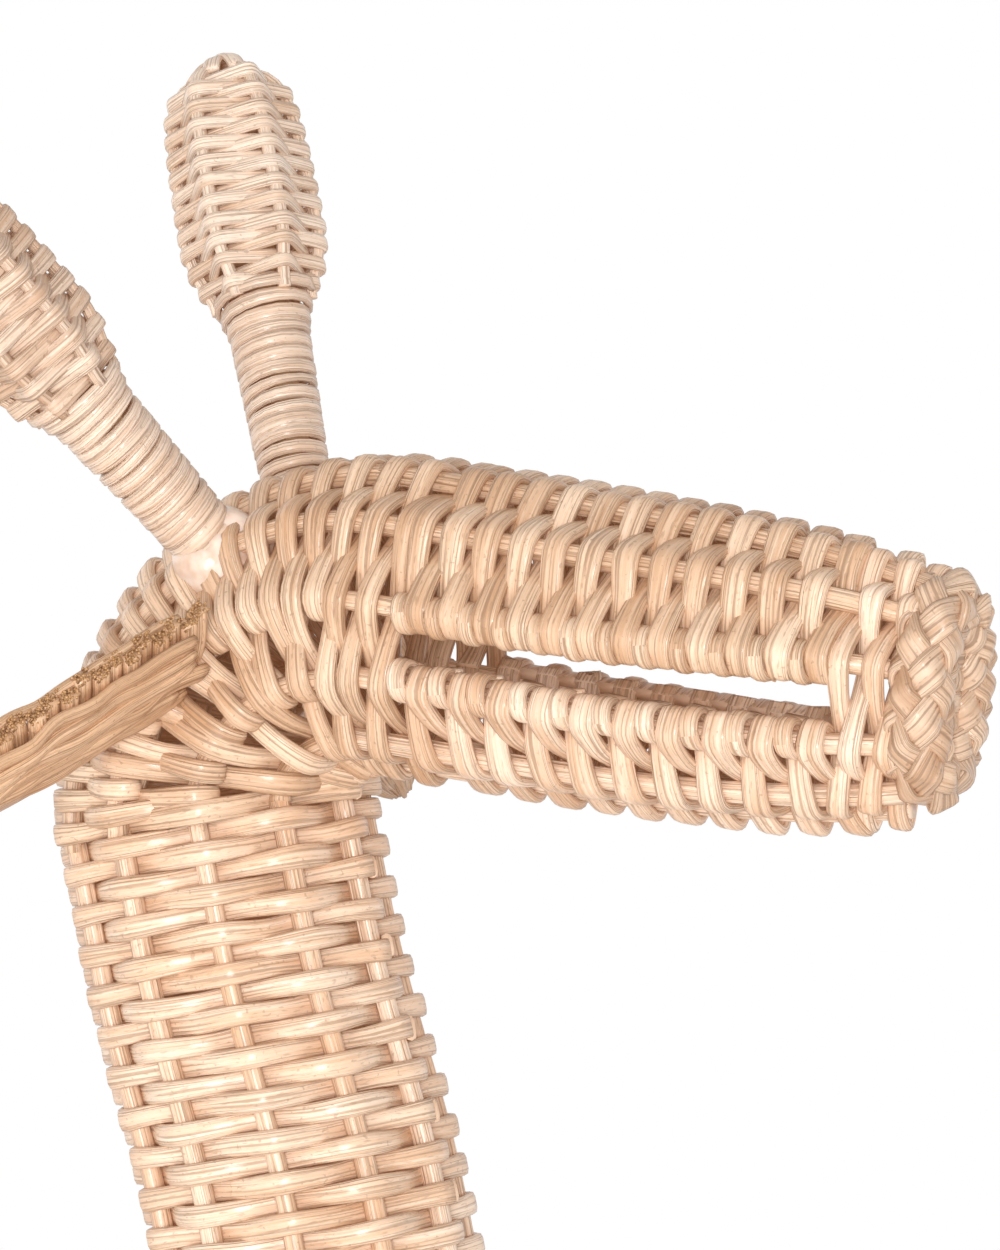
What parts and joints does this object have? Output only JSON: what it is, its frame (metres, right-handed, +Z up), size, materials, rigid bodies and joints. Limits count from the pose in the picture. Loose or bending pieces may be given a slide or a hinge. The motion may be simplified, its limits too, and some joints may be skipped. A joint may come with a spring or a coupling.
{
  "type": "rattan storage basket",
  "caption": "Giraffe-shaped woven rattan storage basket: an open oval basket on short legs, with a hollow woven neck and head at the front.",
  "frame": {"origin": "middle of the bounding box, on the plane that the hooves stand on", "axes": "+X towards the nose, +Z up, the animal's left on +Y"},
  "size_m": [0.4994, 0.2374, 0.6893],
  "materials": {
    "rattan_weave": "natural rattan core, satin",
    "rattan_head": "natural rattan core, satin",
    "pale_cane": "flat rattan cane, semi-gloss",
    "rattan_pole": "rattan pole, satin",
    "frayed_rattan": "cut ends of rattan core, matt",
    "glue": "set hot glue, glossy"
  },
  "bodies": {
    "root": {"basket_wall": "rattan_weave", "basket_floor": "rattan_weave", "rim_border": "rattan_weave", "rim_hoop": "rattan_pole", "foot_hoop": "rattan_pole", "fore_leg_left_pole": "rattan_pole", "fore_leg_left_binding": "pale_cane", "fore_leg_left_hoof": "rattan_weave", "fore_leg_right_pole": "rattan_pole", "fore_leg_right_binding": "pale_cane", "fore_leg_right_hoof": "rattan_weave", "hind_leg_left_pole": "rattan_pole", "hind_leg_left_binding": "pale_cane", "hind_leg_left_hoof": "rattan_weave", "hind_leg_right_pole": "rattan_pole", "hind_leg_right_binding": "pale_cane", "hind_leg_right_hoof": "rattan_weave", "neck_weave": "rattan_weave", "crown_weave": "rattan_head", "upper_jaw_weave": "rattan_head", "lower_jaw_weave": "rattan_head", "upper_lip_left": "rattan_head", "upper_lip_right": "rattan_head", "lower_lip_left": "rattan_head", "lower_lip_right": "rattan_head", "muzzle_weave": "rattan_head", "nose_border": "rattan_head", "nose_mat": "rattan_head", "horn_left_pole": "rattan_pole", "horn_left_binding": "pale_cane", "horn_left_tip": "pale_cane", "horn_left_glue": "glue", "horn_right_pole": "rattan_pole", "horn_right_binding": "pale_cane", "horn_right_tip": "pale_cane", "horn_right_glue": "glue", "ear_left": "frayed_rattan", "ear_right": "frayed_rattan", "tail_binding": "pale_cane", "tail_tuft": "frayed_rattan"}
  },
  "joints": []
}
